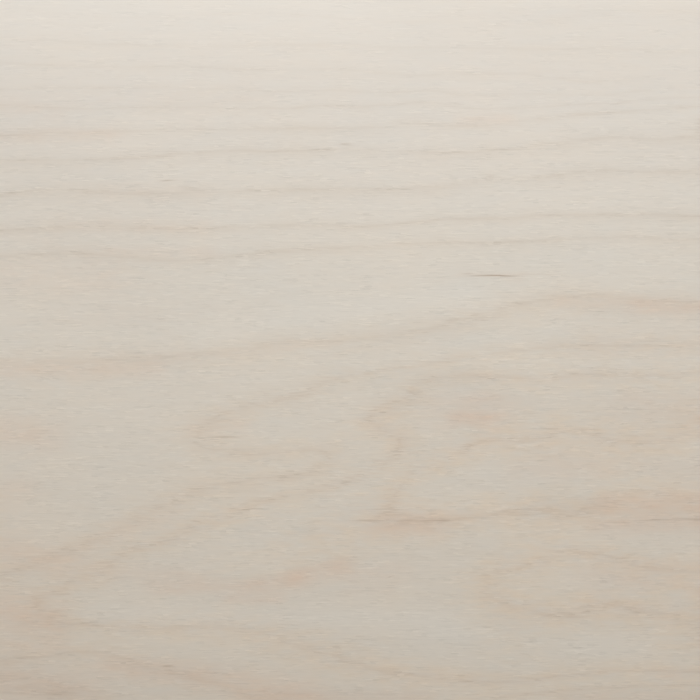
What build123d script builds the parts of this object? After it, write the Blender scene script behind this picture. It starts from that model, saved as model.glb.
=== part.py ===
import os

from build123d import *

# Plywood sheet, lying flat with its face veneer up.
# Origin at the centre of the underside, +X along the face grain, +Z up. Millimetres.

# Trimmed panel
LENGTH = 1220.0  # along the face grain
WIDTH = 610.0

# Lay-up, which sets the thickness: sanded face and back veneers over cross-laid inner plies
FACE_VENEER = 1.3
INNER_PLY = 1.4
INNER_PLIES = 11
THICKNESS = 2 * FACE_VENEER + INNER_PLIES * INNER_PLY

# Edges
ARRIS = 0.4  # rounding that sanding leaves where each face meets a sawn edge
CORNER = 0.6  # rounding of the four upright corners


def sheet_outline():
    """Plan of the trimmed sheet, square but for its eased corners."""
    return RectangleRounded(LENGTH, WIDTH, CORNER)


def plywood_sheet():
    """The sheet is one glued solid, flat on both faces, with an eased arris all round each."""
    blank = extrude(sheet_outline(), THICKNESS)
    faces = blank.faces().filter_by(Axis.Z)
    return fillet(faces.edges(), ARRIS)


os.makedirs("parts", exist_ok=True)
export_step(plywood_sheet(), "parts/plywood_sheet.step")
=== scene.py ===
import math

import bpy
import numpy as np
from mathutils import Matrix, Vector


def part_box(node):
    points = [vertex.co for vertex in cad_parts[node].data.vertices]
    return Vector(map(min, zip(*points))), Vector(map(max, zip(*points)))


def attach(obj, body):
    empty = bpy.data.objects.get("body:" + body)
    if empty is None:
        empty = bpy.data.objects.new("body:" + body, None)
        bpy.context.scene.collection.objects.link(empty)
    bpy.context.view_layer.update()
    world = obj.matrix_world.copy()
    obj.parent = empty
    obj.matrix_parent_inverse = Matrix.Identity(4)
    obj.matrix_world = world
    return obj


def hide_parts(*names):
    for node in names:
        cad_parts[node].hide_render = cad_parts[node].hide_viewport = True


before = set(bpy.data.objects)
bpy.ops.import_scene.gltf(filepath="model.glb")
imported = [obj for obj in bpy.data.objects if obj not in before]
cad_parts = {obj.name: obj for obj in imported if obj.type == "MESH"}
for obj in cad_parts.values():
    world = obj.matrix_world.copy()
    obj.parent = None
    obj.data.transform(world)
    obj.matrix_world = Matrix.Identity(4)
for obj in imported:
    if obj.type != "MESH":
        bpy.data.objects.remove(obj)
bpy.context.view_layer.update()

# Sizes, in millimetres unless a comment says otherwise
MM = 0.001  # a millimetre, in the frame's metres
low, high = (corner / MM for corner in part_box("plywood_sheet"))
LENGTH, WIDTH, THICKNESS = high - low
CORNER = 0.6  # rounding of the four upright corners
ARRIS = 0.4  # rounding between each face and the sawn edges
FACE_VENEER = 1.3
INNER_PLIES = 11
INNER_PLY = (THICKNESS - 2 * FACE_VENEER) / INNER_PLIES
GLUE_LINES = [FACE_VENEER + INNER_PLY * line for line in range(INNER_PLIES + 1)]
SANDED_BACK = 0.04  # how far every other ply stands back from the sawn edge
GLUE_STEP = 0.03  # half the height over which one ply steps back from the next
VENEER_RELIEF = 0.02  # depth of the fibres in a sanded face
SAWN_RELIEF = 0.06  # depth of the checks and pores in a sawn edge

# The photograph shows this much of the face, about the middle of the sheet
PHOTO_PIXELS = 700
PHOTO_MM = 350.0
PIXEL = PHOTO_MM / PHOTO_PIXELS
CAMERA_HEIGHT = 900.0  # above the face

# Mesh cells of the two faces, along and across: small where the figure is followed closely
FINE_CELL = (5.0, 2.0)
COARSE_CELL = (14.0, 6.0)
CELL_GROWTH = 1.08
# Degrees at which the roundings have mesh lines
ARRIS_TURNS = (0, 30, 60, 90)
CORNER_TURNS = (30, 60)

# The sheet's two materials, by slot
VENEER, PLIES = 0, 1

# The log that the veneers were peeled from, its growth rings numbered from the bark's side inwards
TURN = 750.0  # length of veneer that one turn of the log gives
SWING = 8.5  # half the growth rings that the knife crosses between crest and hollow
CREST_RING = 13.5
CREST_SWAY = 22.0  # how far the crest wanders across the grain, and over what length
SWAY_LENGTH = 190.0
# Painted sheen: the wood is painted paler and cooler towards the back edge, and warmer towards the front
PAINTED_SHEEN_SIDE = 120.0  # how soon the wood turns paler towards the back edge
# Each face's own chance, and where its crest lies across the sheet
FACE_PEEL = {"seed": 3, "crest_y": -100.0}
BACK_PEEL = {"seed": 11, "crest_y": 60.0}
BACK_APART = 4000.0  # the back's grain is read this far along, so that the two faces differ

# Swells that cross the rings: how many, their lengths, and their heights in rings
SWELLS = 9
SWELL_ALONG = (260, 900)
SWELL_ACROSS = (110, 330)
SWELL_HEIGHT = (0.15, 0.45)

# Boldness of the rings' lines, where the photograph doesn't give it
RING_NUMBERS = np.arange(-30, 40)
USUAL_BOLDNESS = (0.4, 1.3)
BOLDNESS_SEED = 5

# Growth rings seen in the photograph: number, boldness and course in its pixels
RING_LINES = [
    (1, 0.3, [(-60, 8), (0, 9), (250, 13), (550, 22), (760, 26)]),
    (2, 0.5, [(-60, 36), (0, 38), (200, 47), (450, 48), (600, 48), (700, 53), (760, 54)]),
    (3, 0.6, [(-60, 60), (0, 62), (200, 67), (350, 70), (500, 73), (620, 80), (760, 82)]),
    (4, 0.75, [(-60, 89), (0, 89), (200, 89), (300, 91), (400, 92), (470, 95), (600, 95), (760, 96)]),
    (5, 0.9, [(-60, 105), (0, 105), (200, 107), (325, 106), (425, 102), (600, 104), (760, 101)]),
    (6, 1.25, [(-60, 138), (0, 136), (100, 132), (215, 129), (350, 129), (440, 125), (500, 124), (545, 118),
              (600, 113), (650, 110), (700, 106), (760, 104)]),
    (7, 1.3, [(-60, 162), (0, 161), (100, 159), (215, 151), (350, 149), (425, 152), (500, 150), (575, 141),
              (640, 140), (700, 134), (760, 131)]),
    (8, 1.4, [(-60, 196), (0, 195), (50, 190), (225, 191), (375, 189), (440, 186), (490, 178), (550, 176),
              (610, 170), (700, 170), (760, 170)]),
    (9, 1.4, [(-60, 232), (0, 231), (75, 227), (225, 228), (375, 226), (425, 221), (500, 218), (600, 215),
              (700, 216), (760, 217)]),
    (10, 1.25, [(-60, 257), (0, 256), (75, 253), (250, 254), (325, 248), (390, 245), (450, 242), (550, 240),
                (625, 237), (700, 239), (760, 240)]),
    (11, 1.0, [(-60, 361), (0, 361), (75, 362)]),
    (11, 1.3, [(150, 357), (200, 354), (240, 350), (290, 342), (340, 341)]),
    (11, 1.5, [(380, 337), (425, 330), (465, 320), (500, 310), (545, 300), (590, 296), (650, 300), (700, 302),
               (760, 303)]),
    (12, 0.9, [(760, 344), (700, 345), (575, 346), (525, 350), (475, 356), (425, 365), (375, 372),
               (340, 377)]),
    (12, 1.3, [(310, 390), (280, 400), (240, 410), (210, 422), (200, 432), (205, 445), (225, 452), (260, 454),
               (300, 451), (325, 452), (328, 460), (310, 472), (280, 477)]),
    (12, 1.3, [(240, 482), (200, 487), (170, 500), (140, 517), (100, 537), (65, 552), (30, 565), (0, 574),
               (-60, 592)]),
    (13, 0.9, [(760, 372), (700, 372), (590, 374), (525, 379)]),
    (13, 1.6, [(460, 375), (425, 380), (410, 395), (380, 410), (370, 422), (388, 432), (400, 445),
               (395, 452)]),
    (13, 1.2, [(372, 470), (350, 480), (310, 492), (270, 500), (240, 510), (200, 525), (165, 540), (125, 555),
               (100, 570), (65, 587), (38, 602), (45, 615), (75, 624), (125, 627), (200, 627), (250, 631)]),
    (13, 1.05, [(285, 640), (320, 652), (360, 665), (390, 672), (450, 679), (515, 682), (575, 675),
                (625, 671), (700, 672), (760, 673)]),
    (14, 0.9, [(760, 412), (700, 425), (665, 440), (625, 442), (595, 435), (570, 430), (530, 440)]),
    (14, 1.2, [(490, 440), (460, 452), (435, 465), (410, 475), (395, 495), (387, 512), (410, 522), (490, 515),
               (550, 510), (570, 517), (600, 505), (635, 492), (665, 495), (700, 500), (760, 504)]),
    (14, 1.0, [(760, 578), (700, 572), (640, 565), (610, 557), (565, 552), (530, 565), (500, 570), (487, 582),
               (492, 595), (515, 607), (550, 614), (575, 616), (600, 604), (635, 610), (660, 615), (700, 620),
               (760, 624)]),
    (12, 1.1, [(-60, 664), (0, 660), (50, 656), (100, 652), (135, 665), (170, 672), (210, 682), (240, 692),
               (260, 700), (300, 716)]),
    (12, 0.9, [(440, 712), (500, 697), (550, 692), (625, 687), (700, 685), (760, 684)]),
]
# Crests and hollows between those lines, as (ring, pixel)
RING_CRESTS = [
    (0.5, (560, -2)), (0.6, (700, -2)),
    (10.5, (60, 308)), (10.55, (200, 305)), (10.5, (330, 294)), (10.5, (460, 279)), (10.45, (600, 266)),
    (11.3, (20, 410)), (11.5, (20, 470)), (11.4, (120, 420)), (11.6, (100, 480)), (11.75, (20, 530)),
    (11.8, (230, 468)), (12.5, (280, 430)), (12.5, (620, 360)), (13.5, (600, 405)), (13.5, (450, 560)),
    (13.3, (90, 598)), (13.5, (200, 590)), (13.6, (300, 590)), (13.5, (400, 600)), (14.4, (560, 475)),
    (14.4, (680, 470)), (14.4, (600, 585)), (13.6, (600, 535)), (13.5, (600, 645)), (11.0, (0, 692)),
]
# How far the growth at one place bears on its neighbours', along and across the grain
REACH_ALONG = 70.0
REACH_ACROSS = 30.0
RING_SLACK = 2e-4  # how freely the rings may miss the points given
RING_WIDTHS = (4, 60)  # least and most that the finish is told of

# Warm stains and a painted sheen, end to end in photograph pixels: x, y, x, y, thickness, strength.
# Below 0 the wood is paler.
STAINS_AND_SHEEN = [
    # Painted sheen: a broad paler, cooler band along the top
    (-260, -26, 330, -20, 48, -0.28),
    (0, 2, 400, 4, 6, 0.05),
    (0, 97, 260, 99, 9, 0.04),
    (0, 105, 60, 112, 8, 0.10),
    (0, 136, 110, 133, 7, 0.18),
    (100, 190, 200, 192, 7, 0.10),
    (462, 121, 505, 119, 5, 0.20),
    (0, 272, 105, 280, 20, 0.14),
    (60, 320, 200, 315, 10, 0.06),
    (0, 370, 150, 368, 9, 0.26),
    (150, 359, 340, 342, 6, 0.10),
    (560, 302, 640, 304, 7, 0.20),
    (640, 306, 720, 308, 8, 0.40),
    (580, 345, 700, 345, 20, 0.08),
    (640, 405, 700, 412, 22, 0.18),
    (430, 400, 500, 405, 24, 0.12),
    (460, 418, 490, 419, 9, 0.42),
    (472, 399, 496, 399, 6, 0.20),
    (440, 430, 480, 430, 6, 0.08),
    (520, 470, 600, 474, 10, 0.14),
    (355, 574, 400, 572, 9, 0.16),
    (350, 592, 390, 590, 7, 0.09),
    (60, 226, 200, 228, 8, 0.13),
    (0, 232, 60, 245, 7, 0.09),
    (90, 252, 210, 253, 7, 0.15),
    (462, 275, 520, 276, 4, 0.16),
    (0, 430, 40, 435, 16, 0.30),
    (195, 430, 240, 425, 9, 0.14),
    (90, 545, 170, 515, 9, 0.13),
    (100, 572, 190, 578, 10, 0.16),
    (0, 492, 20, 490, 12, 0.21),
    (160, 590, 250, 584, 8, 0.25),
    (262, 582, 288, 581, 10, 0.36),
    (302, 575, 338, 566, 10, 0.42),
    (232, 600, 276, 602, 8, 0.36),
    (372, 525, 432, 525, 12, 0.44),
    (610, 503, 720, 505, 14, 0.45),
    (545, 455, 700, 470, 14, 0.12),
    (600, 526, 710, 524, 9, 0.32),
    (600, 576, 700, 588, 14, 0.23),
    (550, 556, 600, 556, 6, 0.05),
    (650, 565, 690, 565, 6, 0.10),
    (590, 605, 650, 607, 6, 0.10),
    (-20, 546, 60, 562, 15, 0.31),
    (0, 612, 45, 620, 20, 0.42),
    (115, 664, 300, 692, 14, 0.34),
    (0, 645, 60, 648, 6, 0.18),
    (560, 700, 700, 697, 7, 0.18),
    (0, 680, 70, 690, 18, 0.37),
    (240, 700, 420, 698, 8, 0.24),
    (660, 675, 684, 676, 5, 0.18),
    (130, 648, 420, 648, 9, -0.20),
    (150, 620, 250, 625, 7, -0.22),
    (400, 660, 520, 662, 7, -0.15),
    (100, 616, 450, 622, 14, -0.58),
    (440, 636, 640, 648, 14, -0.40),
    (200, 334, 480, 292, 13, -0.32),
    (240, 378, 700, 374, 11, -0.22),
    (255, 545, 350, 515, 15, -0.58),
    (250, 572, 330, 545, 9, -0.32),
    (330, 500, 380, 470, 10, -0.30),
    (345, 412, 395, 395, 9, -0.46),
    (425, 458, 465, 435, 7, -0.46),
    (430, 340, 560, 338, 9, -0.36),
    (590, 488, 640, 488, 8, -0.22),
    (670, 600, 700, 650, 12, -0.30),
    (480, 535, 560, 545, 10, -0.25),
    (500, 626, 650, 634, 10, -0.22),
    (0, 345, 60, 345, 8, -0.20),
]
# Where the face is a little darker, or below 0 lighter, without being warmer, in the same terms: mostly the
# wood's own tone, with the painted sheen and shade marked below
SHADES = [
    (20, 130, 130, 290, 50, 0.024),
    (430, 400, 690, 425, 28, 0.026),
    (560, 508, 700, 516, 18, 0.035),
    (590, 310, 710, 318, 12, 0.025),
    (170, 106, 240, 98, 11, 0.020),
    (100, 190, 200, 192, 7, 0.012),
    (560, 345, 690, 345, 12, 0.032),
    (600, 396, 700, 404, 18, 0.022),
    (545, 455, 700, 470, 14, 0.020),
    (425, 452, 470, 432, 8, 0.022),
    (330, 560, 500, 550, 9, 0.014),
    (-20, 672, 50, 692, 18, 0.044),
    (60, 692, 420, 698, 8, 0.028),
    (560, 700, 700, 697, 7, 0.026),
    # Painted sheen: lighter along the top edge
    (430, -2, 720, -2, 7, -0.045),
    # Painted shade: darker at the top right, where the light falls off
    (540, 60, 650, 70, 20, 0.014),
    # Painted sheen: a broad lighter band along the top
    (-260, -22, 330, -18, 60, -0.070),
    (270, 205, 580, 215, 42, -0.014),
    (200, 334, 480, 292, 13, -0.018),
    (300, 318, 470, 300, 16, -0.008),
    (300, 377, 700, 374, 12, 0.012),
    (110, 614, 460, 622, 14, -0.027),
    (400, 660, 520, 662, 7, -0.010),
    (440, 638, 640, 648, 14, -0.018),
    (262, 578, 288, 580, 9, 0.012),
    (306, 564, 326, 562, 8, 0.012),
    (450, 420, 476, 420, 7, 0.012),
    (446, 394, 476, 399, 7, -0.010),
    (100, 338, 220, 362, 22, -0.015),
    (-20, 292, 40, 296, 13, 0.016),
    (610, 190, 720, 262, 28, 0.010),
    (370, 440, 500, 474, 18, 0.011),
]

# Further strokes by chance, with their sizes in photograph pixels too
MORE_STAINS = {"count": 130, "longest": 160, "thickest": 20, "strengths": (-0.30, 0.34)}
MORE_SHADES = {"count": 40, "longest": 300, "thickest": 45, "strengths": (-0.025, 0.025)}
STEEPEST_STROKE = 0.12  # climb over length
STROKE_ENDS = 1.6  # a stroke's ends are this much softer than its sides

# Flecks and mineral streaks, along the grain, in photograph pixels: x, y, length, thickness, darkness
FLECKS = [
    (494, 276, 48, 2.0, 0.75), (468, 273.5, 18, 2.0, 0.30), (540, 274.5, 60, 1.8, 0.17),
    (370, 520.5, 44, 2.0, 0.30), (409, 520, 22, 2.0, 0.30), (442, 520.5, 44, 2.2, 0.38),
    (480, 518, 60, 1.8, 0.14), (520, 515, 60, 1.6, 0.15), (618, 522, 34, 3.0, 0.22),
    (652, 520, 60, 2.0, 0.26), (700, 519, 60, 2.2, 0.35), (168, 181, 18, 2.0, 0.45),
    (188, 188, 18, 5.0, 0.12), (347, 144, 14, 3.4, 0.30), (478, 119, 18, 6.0, 0.10),
    (224, 437, 28, 2.4, 0.42), (490, 177, 16, 5.0, 0.18), (170, 666, 14, 2.8, 0.42),
    (137, 352, 18, 1.8, 0.20), (288, 252, 34, 2.6, 0.10), (576, 374, 16, 2.0, 0.15),
    (604, 214, 18, 2.4, 0.17), (390, 577, 4, 3.0, 0.30),
]

# How soon a ring's line, its halo and the glow round them fade: distance squared over ring width
LINE_SPREAD = 0.035
HALO_SPREAD = 0.7
GLOW_SPREAD = 3
# Rings bolder than this have a trail of darker wood after them, which reaches so far
TRAIL_FROM = 1.1
TRAIL_LENGTH = 9
# How far lines are smeared along the fibres and stray across them, and flecks along them
LINE_SMEAR = 22
LINE_WOBBLE = 1.2
FLECK_SMEAR = 6
# Rings over which the outer wood's cool lines and the painted rosy tint of the light end, and over which the
# inner wood's warm ones begin
OUTER_RINGS = (4, 12)
INNER_RINGS = (9.5, 14.5)
GLUE_SPREAD = 0.016  # how soon a glue line fades: distance squared

# Colours, as linear values
PALE_WOOD = (0.602, 0.566, 0.503)
WARM_WOOD = (0.645, 0.540, 0.422)
ROSY_WOOD_AND_LIGHT_TINT = (0.655, 0.545, 0.535)
STAINED_WOOD = (0.620, 0.465, 0.355)
TAN_WOOD = (0.535, 0.455, 0.370)
RING_WOOD = (0.430, 0.345, 0.255)
FLECK_WOOD = (0.300, 0.215, 0.145)
LONG_GRAIN = (0.660, 0.560, 0.425)
END_GRAIN = (0.480, 0.355, 0.225)
GLUE = (0.200, 0.110, 0.060)
FLOOR_COLOUR = (0.70, 0.70, 0.69)
WHITE = (1, 1, 1)

# Studio
FLOOR_REACH = 6000.0
FLOOR_LAP = 2.0  # how far the floor goes under the sheet's edges
BACKDROP_REACH = (700, 3500)  # where the floor starts to whiten, and where it is white
WORLD_LIGHT = 0.25  # strength of the white all round, as a lamp


def on_sheet(pixels):
    """Places on the sheet, from the photograph's pixels."""
    x, y = np.array(pixels, float).reshape(-1, 2).T
    return (x - PHOTO_PIXELS / 2) * PIXEL, (PHOTO_PIXELS / 2 - y) * PIXEL


# Growth rings


def swells(x, y, seed):
    """Gentle swells of the growth rings, in rings, from a few crossing waves."""
    chance = np.random.default_rng(seed)
    total = np.zeros(np.broadcast(x, y).shape)
    for _ in range(SWELLS):
        along, across = chance.uniform(*SWELL_ALONG), chance.uniform(*SWELL_ACROSS)
        height, start = chance.uniform(*SWELL_HEIGHT), chance.uniform(0, 2 * math.pi)
        lean = chance.choice([-1, 1])
        total += height * np.sin(2 * math.pi * (x / along + lean * y / across) + start)
    return total


def peeled_rings(x, y, seed, crest_y):
    """The ring that the knife was in at each place of a rotary-peeled veneer."""
    crest = crest_y + CREST_SWAY * np.sin(x / SWAY_LENGTH + seed)
    dip = SWING * (1 - np.cos(2 * math.pi * (y - crest) / TURN))
    return CREST_RING - dip + swells(x, y, seed)


def usual_boldness(ring):
    """Every growth ring has a boldness of its own."""
    chance = np.random.default_rng(BOLDNESS_SEED)
    return np.interp(ring, RING_NUMBERS, chance.uniform(*USUAL_BOLDNESS, len(RING_NUMBERS)))


def likeness(x, y, other_x, other_y):
    """How alike the growth is at two places, from 1 where they meet down to 0."""
    apart = np.hypot((x[:, None] - other_x) / REACH_ALONG, (y[:, None] - other_y) / REACH_ACROSS)
    apart = math.sqrt(3) * apart
    return (1 + apart) * np.exp(-apart)


def face_rings(x, y):
    """Ring and boldness at each place of the face, drawn to the lines that the photograph shows."""
    known = [(ring, bold, pixel) for ring, bold, line in RING_LINES for pixel in line]
    known += [(ring, usual_boldness(ring), pixel) for ring, pixel in RING_CRESTS]
    rings, bolds = np.array([(ring, bold) for ring, bold, _ in known]).T
    known_x, known_y = on_sheet([pixel for _, _, pixel in known])
    off = np.stack([rings - peeled_rings(known_x, known_y, **FACE_PEEL), bolds - usual_boldness(rings)], 1)
    bonds = likeness(known_x, known_y, known_x, known_y) + RING_SLACK * np.eye(len(rings))
    pull = np.linalg.solve(bonds, off)
    drawn = likeness(x.ravel(), y.ravel(), known_x, known_y) @ pull
    ring = peeled_rings(x, y, **FACE_PEEL) + drawn[:, 0].reshape(x.shape)
    return ring, usual_boldness(ring) + drawn[:, 1].reshape(x.shape)


def back_rings(x, y):
    """Ring and boldness at each place of the back, by chance alone."""
    ring = peeled_rings(x, y, **BACK_PEEL)
    return ring, usual_boldness(ring)


# Stains and shades


def strokes_by_chance(seed, count, longest, thickest, strengths, window):
    """Strokes all over the sheet, kept clear of a square window in its middle."""
    chance = np.random.default_rng(seed)
    wide, deep = LENGTH / PIXEL, WIDTH / PIXEL
    strokes = []
    while len(strokes) < count:
        start, level = chance.uniform(-wide, wide) / 2, chance.uniform(-deep, deep) / 2
        long, thick = chance.uniform(0, longest), chance.uniform(thickest / 3, thickest)
        climb = chance.uniform(-STEEPEST_STROKE, STEEPEST_STROKE) * long
        strength = chance.uniform(*strengths)
        # A stroke has faded to nothing at three times its thickness
        clear = 3 * thick + window / 2
        if max(-start - long - clear, start - clear, abs(level) - clear) > 0:
            x, y = start + PHOTO_PIXELS / 2, level + PHOTO_PIXELS / 2
            strokes.append((x, y, x + long, y + climb, thick, strength))
    return strokes


def brushed(strokes, x, y):
    """Stains, shades, painted sheen and painted shade of a face, each a soft stroke drawn out along the
    grain.
    """
    total = np.zeros(x.shape)
    for start_x, start_y, end_x, end_y, thick, strength in strokes:
        (ax, bx), (ay, by) = on_sheet([(start_x, start_y), (end_x, end_y)])
        share = ((x - ax) * (bx - ax) + (y - ay) * (by - ay)) / ((bx - ax) ** 2 + (by - ay) ** 2)
        share = share.clip(0, 1)
        off_x, off_y = x - ax - share * (bx - ax), y - ay - share * (by - ay)
        side = thick * PIXEL
        total += strength * np.exp(-((off_x / (STROKE_ENDS * side)) ** 2) - (off_y / side) ** 2)
    return total


def figure(x, y, rings, stains_and_sheen, shades):
    """What the veneer finish needs to know at each point of a face."""
    ring, bold = rings(x, y)
    slope_y, slope_x = np.gradient(ring, y[:, 0], x[0])
    pitch = np.clip(1 / np.maximum(np.hypot(slope_x, slope_y), 1e-6), *RING_WIDTHS)
    # Rings that run across the grain are hardly smeared along it
    lean = slope_x * (1 - 0.9 * (slope_x * pitch).clip(-1, 1) ** 2)
    return {
        "ring": ring,
        "ring_pitch": pitch,
        "ring_boldness": bold,
        "ring_lean": lean,
        "stain_and_sheen": brushed(stains_and_sheen, x, y),
        "shade": brushed(shades, x, y),
    }


# Mesh


def cell_edges(half, fine, coarse):
    """Mesh lines from -half to half: fine cells where the photograph looks, then growing to coarse ones."""
    window = PHOTO_MM / 2
    inner = np.linspace(0, window, math.ceil(window / fine) + 1)
    steps, step = [], fine
    while sum(steps) < half - window:
        step = min(step * CELL_GROWTH, coarse)
        steps.append(step)
    outer = window + np.cumsum(steps) * (half - window) / sum(steps)
    right = np.concatenate([inner, outer])
    return np.concatenate([-right[:0:-1], right])


def edge_profile():
    """From the top face to the bottom: how far out from the corner centres, and how high."""
    turn = np.radians(ARRIS_TURNS)
    top = np.stack([CORNER - ARRIS + ARRIS * np.sin(turn), THICKNESS - ARRIS + ARRIS * np.cos(turn)], 1)
    sawn = []
    for number, line in enumerate(reversed(GLUE_LINES)):
        above, below = (0, SANDED_BACK) if number % 2 == 0 else (SANDED_BACK, 0)
        sawn += [(CORNER - above, line + GLUE_STEP), (CORNER - below, line - GLUE_STEP)]
    bottom = np.stack([top[::-1, 0], THICKNESS - top[::-1, 1]], 1)
    return np.concatenate([top, sawn, bottom])


def border_walk(numbers):
    """Round a grid's border: point numbers, outward directions, and where each side starts."""
    sides = [numbers[0], numbers[:, -1], numbers[-1, ::-1], numbers[::-1, 0]]
    points, angles, starts = [], [], []
    for side, facing in zip(sides, (-90, 0, 90, 180)):
        starts.append(len(points))
        points += [*side] + [side[-1]] * len(CORNER_TURNS)
        angles += [facing] * len(side) + [facing + turn for turn in CORNER_TURNS]
    angles = np.radians(angles)
    return np.array(points), np.stack([np.cos(angles), np.sin(angles)], 1), starts


# Where each surface lies on the texture map: low and high, across and up
FACE_ON_MAP = ((0.008, 0.992), (0.348, 0.992))
BACK_ON_MAP = ((0.008, 0.992), (0.128, 0.332))
SIDES_ON_MAP = [
    ((0.003, 0.997), (0.080, 0.116)),
    ((0.003, 0.497), (0.003, 0.039)),
    ((0.003, 0.997), (0.041, 0.077)),
    ((0.503, 0.997), (0.003, 0.039)),
]
ARRIS_ON_MAP = 0.0006  # a step of the rounding, outside its face's part of the map


def on_map(part, share_x, share_y):
    """Places on the texture map, from shares of the way across and up one surface's part of it."""
    (left, right), (low_edge, high_edge) = part
    across, up = left + (right - left) * share_x, low_edge + (high_edge - low_edge) * share_y
    return np.stack(np.broadcast_arrays(across, up), -1)


class Skin:
    """The sheet's points and faces, gathered from grids of points."""

    def __init__(self):
        self.points, self.corners, self.spots, self.finishes = [], [], [], []

    def place(self, x, y, z):
        """Adds a grid of points and returns their numbers."""
        first = sum(len(points) for points in self.points)
        grid = np.stack(np.broadcast_arrays(x, y, z), -1)
        self.points.append(grid.reshape(-1, 3))
        return first + np.arange(grid[..., 0].size).reshape(grid.shape[:-1])

    def cover(self, numbers, spots, finish):
        """A face between each four neighbours of the grid."""
        for grid, kept in ((numbers, self.corners), (spots, self.spots)):
            around = np.stack([grid[:-1, :-1], grid[:-1, 1:], grid[1:, 1:], grid[1:, :-1]], 2)
            kept.extend(around.reshape(-1, *around.shape[2:]).tolist())
        self.finishes += [finish] * (len(self.corners) - len(self.finishes))

    def mesh(self, name):
        """The mesh, with three-cornered faces where two corners are the same point."""
        faces, spots = [], []
        for corners, places in zip(self.corners, self.spots):
            kept = [k for k in range(4) if corners[k] != corners[k - 1]]
            faces.append([corners[k] for k in kept])
            spots += [places[k] for k in kept]
        mesh = bpy.data.meshes.new(name)
        mesh.from_pydata(np.concatenate(self.points) * MM, [], faces)
        mesh.uv_layers.new(name="OFBake").uv.foreach_set("vector", np.array(spots, np.float32).ravel())
        mesh.polygons.foreach_set("material_index", self.finishes)
        mesh.polygons.foreach_set("use_smooth", [finish == VENEER for finish in self.finishes])
        return mesh


def write_figure(mesh, x, y, border):
    """Puts the two faces' figure on the mesh's points. Each rim carries that of the face it belongs to."""
    stains_and_sheen = STAINS_AND_SHEEN + strokes_by_chance(21, window=PHOTO_PIXELS, **MORE_STAINS)
    shades = SHADES + strokes_by_chance(22, window=PHOTO_PIXELS, **MORE_SHADES)
    face_figure = figure(x, y, face_rings, stains_and_sheen, shades)
    stains_and_sheen = strokes_by_chance(23, window=0, **MORE_STAINS)
    shades = strokes_by_chance(24, window=0, **MORE_SHADES)
    back_figure = figure(x, y, back_rings, stains_and_sheen, shades)
    # The points come in this order: the face, the back, then the rims from the top down
    half = len(edge_profile()) // 2
    for name in face_figure:
        on_face, on_back = face_figure[name].ravel(), back_figure[name].ravel()
        rims = [on_face[border]] * half + [on_back[border]] * half
        values = np.concatenate([on_face, on_back, *rims])
        mesh.attributes.new(name, "FLOAT", "POINT").data.foreach_set("value", values)


def sheet_piece():
    """The whole sheet as one closed mesh: two graded faces, their arrises and the sawn edges."""
    halves = LENGTH / 2 - CORNER, WIDTH / 2 - CORNER
    x, y = np.meshgrid(*(cell_edges(*sizes) for sizes in zip(halves, FINE_CELL, COARSE_CELL)))
    shares = np.meshgrid(np.linspace(0, 1, x.shape[1]), np.linspace(0, 1, x.shape[0]))
    face_spots, back_spots = on_map(FACE_ON_MAP, *shares), on_map(BACK_ON_MAP, *shares)
    skin = Skin()
    face, back = skin.place(x, y, THICKNESS), skin.place(x, y, 0.0)
    skin.cover(face, face_spots, VENEER)
    skin.cover(back[::-1], back_spots[::-1], VENEER)

    # Rows of points round the sheet, from the face's border down its edge to the back's border
    border, outward, starts = border_walk(face)
    profile = edge_profile()
    out, z = profile.T[:, :, None]
    rim_x, rim_y = x.ravel()[border] + outward[:, 0] * out, y.ravel()[border] + outward[:, 1] * out
    rim = skin.place(rim_x, rim_y, z)
    rows = np.concatenate([[face.ravel()[border]], rim, [back.ravel()[border]]])

    # On the map each arris lies against its own face, and the sawn part of each side by itself
    arris = len(ARRIS_TURNS)
    steps = np.arange(arris + 1)[:, None, None] * ARRIS_ON_MAP
    heights = profile[arris - 1 : 1 - arris, 1:] / THICKNESS
    for start, end, side_on_map in zip(starts, starts[1:] + [len(border)], SIDES_ON_MAP):
        walk = np.arange(start, end + 1) % len(border)
        walked = np.append(0, np.cumsum(np.hypot(*np.diff([rim_x[arris, walk], rim_y[arris, walk]]))))
        top_spots = face_spots.reshape(-1, 2)[border[walk]] + outward[walk] * steps
        low_spots = back_spots.reshape(-1, 2)[border[walk]] + outward[walk] * steps[::-1]
        sawn_spots = on_map(side_on_map, walked / walked[-1], heights)
        side = rows[:, walk]
        skin.cover(side[arris::-1], top_spots[::-1], VENEER)
        skin.cover(side[arris:-arris][::-1], sawn_spots[::-1], PLIES)
        skin.cover(side[: -arris - 2 : -1], low_spots[::-1], VENEER)

    mesh = skin.mesh("birch_plywood_sheet")
    write_figure(mesh, x, y, border)
    mesh.validate()
    piece = bpy.data.objects.new("birch_plywood_sheet", mesh)
    bpy.context.collection.objects.link(piece)
    return piece


# Finishes


class Wire:
    """A socket in a finish, so that shader maths is written as plain arithmetic."""

    def __init__(self, finish, socket):
        self.finish = finish
        self.socket = socket

    def out(self, name):
        """Another output of the same node."""
        return Wire(self.finish, self.socket.node.outputs[name])

    def maths(self, operation, *others):
        return self.finish.maths(operation, self, *others)

    def __add__(self, other):
        return self.maths("ADD", other)

    def __sub__(self, other):
        return self.maths("SUBTRACT", other)

    def __mul__(self, other):
        return self.maths("MULTIPLY", other)

    def __truediv__(self, other):
        return self.maths("DIVIDE", other)

    def __rsub__(self, other):
        return self.finish.maths("SUBTRACT", other, self)

    def __rpow__(self, other):
        return self.finish.maths("POWER", other, self)

    def __abs__(self):
        return self.maths("ABSOLUTE")

    __radd__ = __add__
    __rmul__ = __mul__

    def fade(self, reach):
        """1 where the value is 0, and fading as it grows: to about a third at its reach."""
        return math.exp(-1 / reach) ** self

    def rise(self, start, end):
        """0 up to start, 1 from end, and smooth between."""
        settings = {"interpolation_type": "SMOOTHSTEP"}
        return self.finish.node("MapRange", settings, {"Value": self, "From Min": start, "From Max": end})


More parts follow.
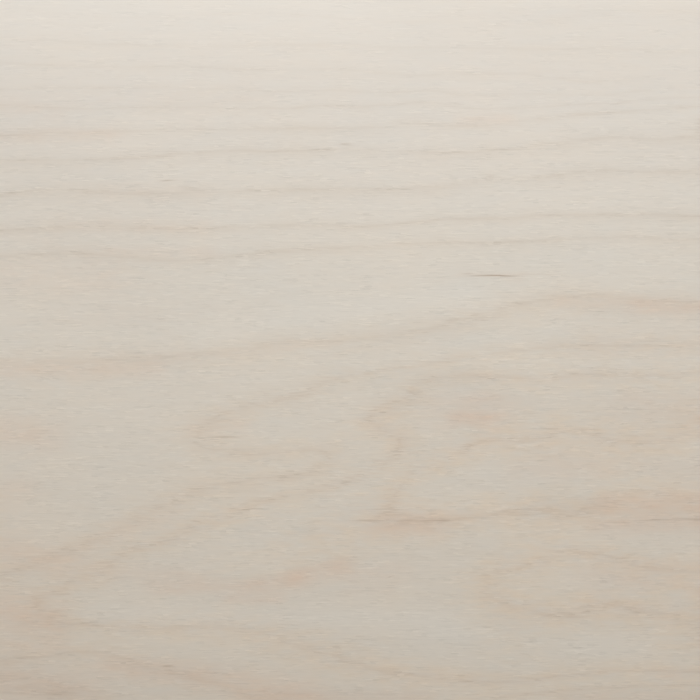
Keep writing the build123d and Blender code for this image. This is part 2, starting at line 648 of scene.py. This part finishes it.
class Finish:
    """The nodes of a material, or of the world, under construction."""

    def __init__(self, owner):
        self.owner = owner
        owner.use_nodes = True
        self.tree = owner.node_tree
        self.tree.nodes.clear()

    def node(self, kind, settings=None, values=None):
        """Adds a node: its settings first, then each socket's value or link. Returns its first output."""
        node = self.tree.nodes.new("ShaderNode" + kind)
        for name, setting in (settings or {}).items():
            setattr(node, name, setting)
        inputs = [socket for socket in node.inputs if socket.enabled]
        by_name = {socket.name: socket for socket in inputs}
        for key, value in (values or {}).items():
            socket = inputs[key] if isinstance(key, int) else by_name[key]
            if isinstance(value, Wire):
                self.tree.links.new(value.socket, socket)
            else:
                socket.default_value = value
        outputs = [socket for socket in node.outputs if socket.enabled]
        return Wire(self, outputs[0]) if outputs else None

    def maths(self, operation, *values):
        """What an operation makes of numbers."""
        return self.node("Math", {"operation": operation}, dict(enumerate(values)))

    def vector(self, operation, *values):
        """What an operation makes of places or colours."""
        return self.node("VectorMath", {"operation": operation}, dict(enumerate(values)))

    def place(self):
        """Where a point is on the sheet, in millimetres."""
        return self.vector("SCALE", self.node("TexCoord").out("Object"), 1 / MM)

    def parts(self, spot):
        """A place's measures along, across and up."""
        split = self.node("SeparateXYZ", None, {0: spot})
        return [split.out(name) for name in "XYZ"]

    def joined(self, x, y, z=0.0):
        """A place, from its measures along, across and up."""
        return self.node("CombineXYZ", None, {"X": x, "Y": y, "Z": z})

    def drawn_out(self, spot, reach, seed):
        """A place counted in a pattern's reach each way, and moved on to the seed's own patch of it."""
        fineness = [1 / size for size in reach] + [0] * (3 - len(reach))
        return self.vector("MULTIPLY_ADD", spot, fineness, (seed * 7.3, seed * 3.1, seed * 1.7))

    def grain(self, spot, reach, seed, detail=1.0):
        """Noise about 0, drawn out to its reach in millimetres along, across and, in the solid, up."""
        settings = {"noise_dimensions": f"{len(reach)}D"}
        values = {"Vector": self.drawn_out(spot, reach, seed), "Scale": 1.0, "Detail": detail}
        return self.node("TexNoise", settings, values) - 0.5

    def cells(self, spot, reach, seed):
        """Long cells along the grain: how far a point is from its cell's middle, and the cell's chance."""
        settings = {"voronoi_dimensions": "2D"}
        away = self.node("TexVoronoi", settings, {"Vector": self.drawn_out(spot, reach, seed), "Scale": 1.0})
        return away, self.parts(away.out("Color"))[2]

    def dashes(self, spot, reach, seed):
        """Dashes with pointed ends, most of them faint and a few clearly lighter or darker."""
        own = self.cells(spot, reach, seed)[1] * 2 - 1
        return own * own * own

    def specks(self, spot, reach, seed, share):
        """Short dark specks in a share of the cells."""
        away, own = self.cells(spot, reach, seed)
        return (away * away).fade(0.02) * own.rise(1 - share, 1)

    def blend(self, share, first, second):
        """The first colour, turned by a share to the second."""
        first, second = [(*c, 1) if isinstance(c, tuple) else c for c in (first, second)]
        return self.node("Mix", {"data_type": "RGBA"}, {"Factor": share, "A": first, "B": second})

    def in_view(self):
        """1 for what is seen, straight on, mirrored or through glass, and 0 for what only gives light."""
        rays = self.node("LightPath")
        seen = rays.out("Is Camera Ray").maths("MAXIMUM", rays.out("Is Glossy Ray"))
        return seen.maths("MAXIMUM", rays.out("Is Transmission Ray"))

    def shine(self, colour, roughness, height, depth):
        """Closes the finish with its surface."""
        normal = self.node("Bump", None, {"Height": height, "Distance": depth * MM, "Strength": 1.0})
        values = {"Base Color": colour, "Roughness": roughness, "Normal": normal}
        surface = self.node("BsdfPrincipled", None, values)
        self.node("OutputMaterial", None, {"Surface": surface})
        return self.owner


def flecks_at(finish, spot):
    """Each fleck as a pointed dash along the grain, all added up."""
    total = 0
    for pixel_x, pixel_y, long, thick, dark in FLECKS:
        (middle_x,), (middle_y,) = on_sheet([(pixel_x, pixel_y)])
        fine_x, fine_y = 2 / (long * PIXEL), 2 / (thick * PIXEL)
        middle = (-middle_x * fine_x, -middle_y * fine_y, 0)
        away = finish.vector("MULTIPLY_ADD", spot, (fine_x, fine_y, 0), middle)
        total = finish.vector("DOT_PRODUCT", away, away).fade(0.6) * dark + total
    return total


def veneer_finish():
    """Sanded face of a rotary-peeled birch veneer, with a painted sheen towards the back edge."""
    finish = Finish(bpy.data.materials.new("sanded_birch_veneer"))
    x, y, z = finish.parts(finish.place())
    under = z.maths("LESS_THAN", THICKNESS / 2)
    spot = finish.joined(x + under * BACK_APART, y)
    ring, pitch, bold, lean, stain_and_sheen, shade = [
        finish.node("Attribute", {"attribute_name": name}).out("Fac")
        for name in ("ring", "ring_pitch", "ring_boldness", "ring_lean", "stain_and_sheen", "shade")
    ]

    # Fibres: short and long dashes, bolder in patches and fainter towards the back edge
    short_dashes = finish.dashes(spot, (3.6, 0.55), seed=7)
    long_dashes = finish.dashes(spot, (14, 0.5), seed=15)
    patches = finish.grain(spot, (15, 5), seed=6) * 2 + 0.8 - y.rise(90, 140) * 0.4
    fibre = (short_dashes + long_dashes * 0.5) * patches
    thread = finish.grain(spot, (30, 1.4), seed=5)
    mottle = finish.grain(spot, (12, 3.6), seed=16, detail=2)
    cloud = finish.grain(spot, (60, 24), seed=4, detail=3)

    # Growth rings: a fine line, ragged along the grain, with a halo and a glow, and after bold rings a trail
    inner = ring.rise(*INNER_RINGS) * 0.34 + 0.02
    outer = 1 - ring.rise(*OUTER_RINGS)
    smear = finish.grain(spot, (16, 0.9), seed=1, detail=0)
    wobble = finish.grain(spot, (18, 6), seed=2)
    ring = ring + lean * smear * LINE_SMEAR + wobble * LINE_WOBBLE / pitch
    after = ring.maths("FRACT")
    close = after.maths("MINIMUM", 1 - after)
    spread = close * close * pitch
    vigour = bold * (finish.grain(spot, (50, 12), seed=3) * 1.6 + 1)
    line = spread.fade(LINE_SPREAD) * vigour * (1 - fibre * 0.7)
    halo = spread.fade(HALO_SPREAD) * vigour
    glow = spread.fade(GLOW_SPREAD) * inner * (mottle * 2.6 + 1)
    too_bold = (bold - TRAIL_FROM).maths("MAXIMUM", 0)
    trail = (after * pitch).fade(TRAIL_LENGTH) * close.rise(0, 0.08) * too_bold

    # Flecks: those of the photograph, and others by chance where it doesn't look
    split_spot = finish.vector("ADD", spot, finish.joined(smear * FLECK_SMEAR, wobble * LINE_WOBBLE))
    farther = abs(x).maths("MAXIMUM", abs(y))
    beyond = farther.rise(PHOTO_MM / 2, PHOTO_MM / 2 + 5).maths("MAXIMUM", under)
    more_flecks = finish.specks(split_spot, (36, 1.8), seed=17, share=0.012)
    flecks = flecks_at(finish, split_spot) + more_flecks * beyond * 0.6

    # Colours, each laid over those before it
    # Stains, and the painted sheen along the top, which pales the wood
    stain_and_sheen = stain_and_sheen * (mottle * 1.1 + 1)
    # Painted sheen: paler and cooler towards the back edge, warmer towards the front
    painted_sheen = (y * (1 / PAINTED_SHEEN_SIDE)).maths("TANH")
    warmth = 0.27 - painted_sheen * 0.173 + cloud * 0.33 + glow + mottle * 0.2 - halo * outer * 0.045
    colour = finish.blend(warmth + stain_and_sheen.maths("MINIMUM", 0) * 0.33, PALE_WOOD, WARM_WOOD)
    # Rosy: round the inner rings' halos the wood's own colour; over the outer rings, towards the back edge, a
    # painted tint of the light
    colour = finish.blend(outer * 0.08 + halo * inner * 0.1, colour, ROSY_WOOD_AND_LIGHT_TINT)
    colour = finish.blend(stain_and_sheen.maths("MAXIMUM", 0) + line * inner * 0.22, colour, STAINED_WOOD)
    colour = finish.blend(halo * 0.13 + trail * 0.4, colour, TAN_WOOD)
    colour = finish.blend(line * 0.11, colour, RING_WOOD)
    colour = finish.blend(flecks, colour, FLECK_WOOD)
    # The shade holds the wood's darker and lighter tones, and the painted sheen and shade near the top
    tone = 1 + fibre * 0.067 + thread * 0.03 + cloud * 0.05 - shade
    colour = finish.vector("SCALE", colour, tone)
    return finish.shine(colour, 0.55 + fibre * 0.08, fibre, VENEER_RELIEF)


def ply_finish():
    """Sawn edge: plies laid crosswise in turn, with thin dark glue between."""
    finish = Finish(bpy.data.materials.new("sawn_birch_plies"))
    spot = finish.place()
    x, y, z = finish.parts(spot)

    # Plies, counted from 0 at the bottom, and the glue lines between them
    level = z + finish.grain(spot, (30, 30, 400), seed=7) * 0.35
    count = (level - FACE_VENEER) * (1 / INNER_PLY) + 1
    ply = count.maths("FLOOR")
    within = count - ply
    gap = within.maths("MINIMUM", 1 - within) * INNER_PLY
    glue = (gap * gap).fade(GLUE_SPREAD) * (finish.grain(spot, (6, 6, 1), seed=12) * 1.2 + 0.8)
    crosswise = (ply * 0.5).maths("FRACT") * 2
    on_end = abs(x).maths("GREATER_THAN", LENGTH / 2 - CORNER)
    end_grain = abs(crosswise - on_end)

    # Wood: long streaks or end-grain checks and pores, with each ply's own tone and the saw's marks
    own = finish.node("TexWhiteNoise", {"noise_dimensions": "1D"}, {"W": ply + 0.5}) - 0.5
    cloud = finish.grain(spot, (45, 45, 2.5), seed=13)
    streaks = finish.grain(spot, (14, 14, 0.3), seed=8, detail=2)
    leaning = finish.joined(x + z * 0.6, y + z * 0.6, z)
    checks = finish.grain(leaning, (0.3, 0.3, 2.5), seed=9, detail=2)
    pores = finish.grain(spot, (0.35, 0.35, 0.35), seed=14)
    saw = finish.grain(spot, (1.1, 1.1, 8), seed=10)

    on_end_grain = 0.8 + checks * 1.3 + pores * 0.9
    dark = (on_end_grain - streaks * 0.7) * end_grain + streaks * 0.7 + own * 0.35 + cloud * 0.5 + saw * 0.25
    colour = finish.blend(dark, LONG_GRAIN, END_GRAIN)
    colour = finish.blend(glue * 0.8, colour, GLUE)
    height = (checks + pores) * end_grain * 0.6 + streaks * 0.3 + saw * 0.4
    return finish.shine(colour, 0.72 + end_grain * 0.12, height, SAWN_RELIEF)


def floor_finish():
    """Pale floor that turns into the white backdrop further out, where it is seen."""
    finish = Finish(bpy.data.materials.new("pale_floor"))
    distance = finish.vector("LENGTH", finish.place())
    backdrop = distance.rise(*BACKDROP_REACH) * 0.6 + 0.4
    floor = finish.node("BsdfPrincipled", None, {"Base Color": (*FLOOR_COLOUR, 1), "Roughness": 0.9})
    white = finish.node("Emission", None, {"Color": (*WHITE, 1), "Strength": 1.0})
    surface = finish.node("MixShader", None, {0: finish.in_view() * backdrop, 1: floor, 2: white})
    finish.node("OutputMaterial", None, {"Surface": surface})
    return finish.owner


# Studio


def softbox(name, place, aim, size, watts):
    """A soft rectangular lamp, with its place, aim and size in metres."""
    lamp = bpy.data.lights.new(name, "AREA")
    lamp.shape = "RECTANGLE"
    lamp.size, lamp.size_y = size
    lamp.energy = watts
    holder = bpy.data.objects.new(name, lamp)
    holder.location = place
    holder.rotation_euler = (Vector(aim) - Vector(place)).to_track_quat("-Z", "Y").to_euler()
    bpy.context.collection.objects.link(holder)


def studio_world():
    """Even white all round: full strength where it is seen, less where it lights."""
    finish = Finish(bpy.data.worlds.new("studio"))
    strength = finish.in_view() * (1 - WORLD_LIGHT) + WORLD_LIGHT
    white = finish.node("Background", None, {"Color": (*WHITE, 1), "Strength": strength})
    finish.node("OutputWorld", None, {"Surface": white})
    return finish.owner


def floor_piece():
    """A wide floor, open beneath the sheet so that its back can be looked at from below."""
    reach, lap = FLOOR_REACH * MM, FLOOR_LAP * MM
    corners = []
    for x, y in ((reach, reach), (LENGTH / 2 * MM - lap, WIDTH / 2 * MM - lap)):
        corners += [(-x, -y, 0), (x, -y, 0), (x, y, 0), (-x, y, 0)]
    floor = bpy.data.meshes.new("floor")
    floor.from_pydata(corners, [], [(k, (k + 1) % 4, (k + 1) % 4 + 4, k + 4) for k in range(4)])
    floor.materials.append(floor_finish())
    ground = bpy.data.objects.new("floor", floor)
    bpy.context.collection.objects.link(ground)


def camera_above():
    """Straight above the middle of the face, as the photograph was taken."""
    lens = bpy.data.cameras.new("camera")
    lens.sensor_width = 36
    lens.lens = lens.sensor_width * CAMERA_HEIGHT / PHOTO_MM
    camera = bpy.data.objects.new("camera", lens)
    camera.location = (0, 0, (CAMERA_HEIGHT + THICKNESS) * MM)
    bpy.context.collection.objects.link(camera)
    bpy.context.scene.camera = camera


def studio():
    """The floor, four soft lamps, the white all round and the camera."""
    floor_piece()
    softbox("overhead_softbox", place=(0.07, 0.60, 1.0), aim=(0.07, 0.60, 0.0), size=(1.4, 0.7), watts=13.7)
    softbox("front_softbox", place=(2.1, -3.5, 0.79), aim=(0.175, 0.0, 0.0), size=(2.8, 1.4), watts=50.0)
    softbox("left_softbox", place=(-3.4, 0.9, 0.7), aim=(-0.4, 0.0, 0.0), size=(1.6, 1.0), watts=25.0)
    softbox("under_softbox", place=(0.0, 0.0, -1.5), aim=(0.0, 0.0, 0.0), size=(1.8, 1.2), watts=17.0)
    bpy.context.scene.world = studio_world()
    bpy.context.scene.view_settings.view_transform = "Standard"
    camera_above()


sheet = sheet_piece()
sheet.data.materials.append(veneer_finish())
sheet.data.materials.append(ply_finish())
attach(sheet, "root")
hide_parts("plywood_sheet")
studio()
